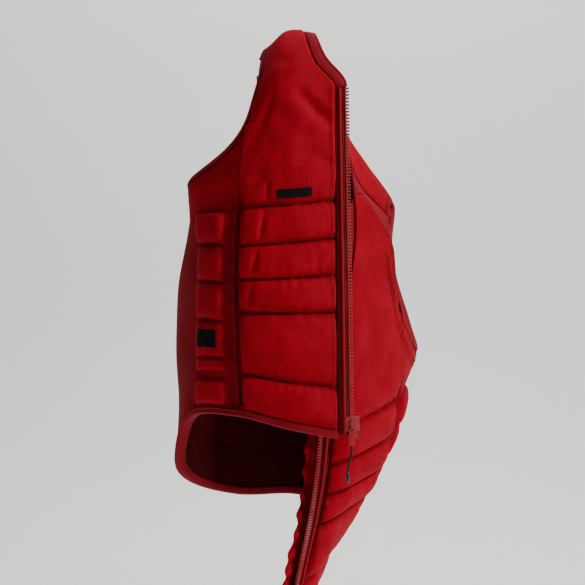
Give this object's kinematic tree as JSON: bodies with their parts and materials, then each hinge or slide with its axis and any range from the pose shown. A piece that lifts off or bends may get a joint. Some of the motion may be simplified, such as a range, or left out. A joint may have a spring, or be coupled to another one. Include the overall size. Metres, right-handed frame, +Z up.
{
  "type": "life jacket",
  "caption": "Sleeveless front-zip neoprene life jacket held up by one shoulder, unzipped, with quilted foam slabs, bound armholes, a wind flap and a corded zip pull.",
  "frame": {"origin": "the grip on the right shoulder strap, where the jacket is held up", "axes": "+Z up, +X towards the viewer's right, +Y away from the viewer, seen from the front"},
  "size_m": [0.3629, 0.294, 0.8117],
  "materials": {
    "neoprene": "brushed knit over closed-cell neoprene",
    "lining": "smooth knit",
    "buoyancy_foam": "closed-cell PVC foam, sealed in its pocket",
    "binding": "folded stretch tape",
    "zip_tape": "woven",
    "zip_plastic": "moulded, satin",
    "label": "matt, blank",
    "cord": "woven cord",
    "cord_end": "moulded"
  },
  "bodies": {
    "jacket": {"back_collar": "binding", "back_lining": "lining", "back_shell": "neoprene", "back_yoke_foam": "buoyancy_foam", "chest_label": "label", "side_badge": "label", "retainer_box": "zip_plastic", "insertion_pin": "zip_plastic", "hem_binding": "binding", "wind_flap": "neoprene", "back_pad_1": "buoyancy_foam", "back_pad_2": "buoyancy_foam", "back_pad_3": "buoyancy_foam", "back_pad_4": "buoyancy_foam", "back_pad_5": "buoyancy_foam", "right_armhole_binding": "binding", "right_chest_foam": "buoyancy_foam", "right_collar": "binding", "right_front_lining": "lining", "right_front_shell": "neoprene", "right_shoulder_seam": "binding", "right_side_lining": "lining", "right_side_shell": "neoprene", "right_zip_tape": "zip_tape", "right_zip_teeth": "zip_plastic", "right_front_pad_1": "buoyancy_foam", "right_front_pad_2": "buoyancy_foam", "right_front_pad_3": "buoyancy_foam", "right_front_pad_4": "buoyancy_foam", "right_front_pad_5": "buoyancy_foam", "right_side_pad_1": "buoyancy_foam", "right_side_pad_2": "buoyancy_foam", "right_side_pad_3": "buoyancy_foam", "right_side_pad_4": "buoyancy_foam", "right_side_pad_5": "buoyancy_foam", "left_armhole_binding": "binding", "left_chest_foam": "buoyancy_foam", "left_collar": "binding", "left_front_lining": "lining", "left_front_shell": "neoprene", "left_shoulder_seam": "binding", "left_side_lining": "lining", "left_side_shell": "neoprene", "left_zip_tape": "zip_tape", "left_zip_teeth": "zip_plastic", "left_front_pad_1": "buoyancy_foam", "left_front_pad_2": "buoyancy_foam", "left_front_pad_3": "buoyancy_foam", "left_front_pad_4": "buoyancy_foam", "left_front_pad_5": "buoyancy_foam", "left_side_pad_1": "buoyancy_foam", "left_side_pad_2": "buoyancy_foam", "left_side_pad_3": "buoyancy_foam", "left_side_pad_4": "buoyancy_foam", "left_side_pad_5": "buoyancy_foam"},
    "slider": {"zip_slider": "zip_plastic"},
    "pull": {"pull_tab": "zip_plastic", "pull_cord": "cord", "cord_end": "cord_end"}
  },
  "joints": [
    {"name": "slider_travel", "type": "slide", "parent": "jacket", "child": "slider", "axis": [-0.0146, 0.0295, 0.9995], "range_m": [0, 0.42]},
    {"name": "pull_tab_hinge", "type": "hinge", "parent": "slider", "child": "pull", "pos_m": [0.0971, -0.02399, -0.5358], "axis": [-0.9765, -0.2154, -0.0079], "range_deg": [0, 130]}
  ]
}
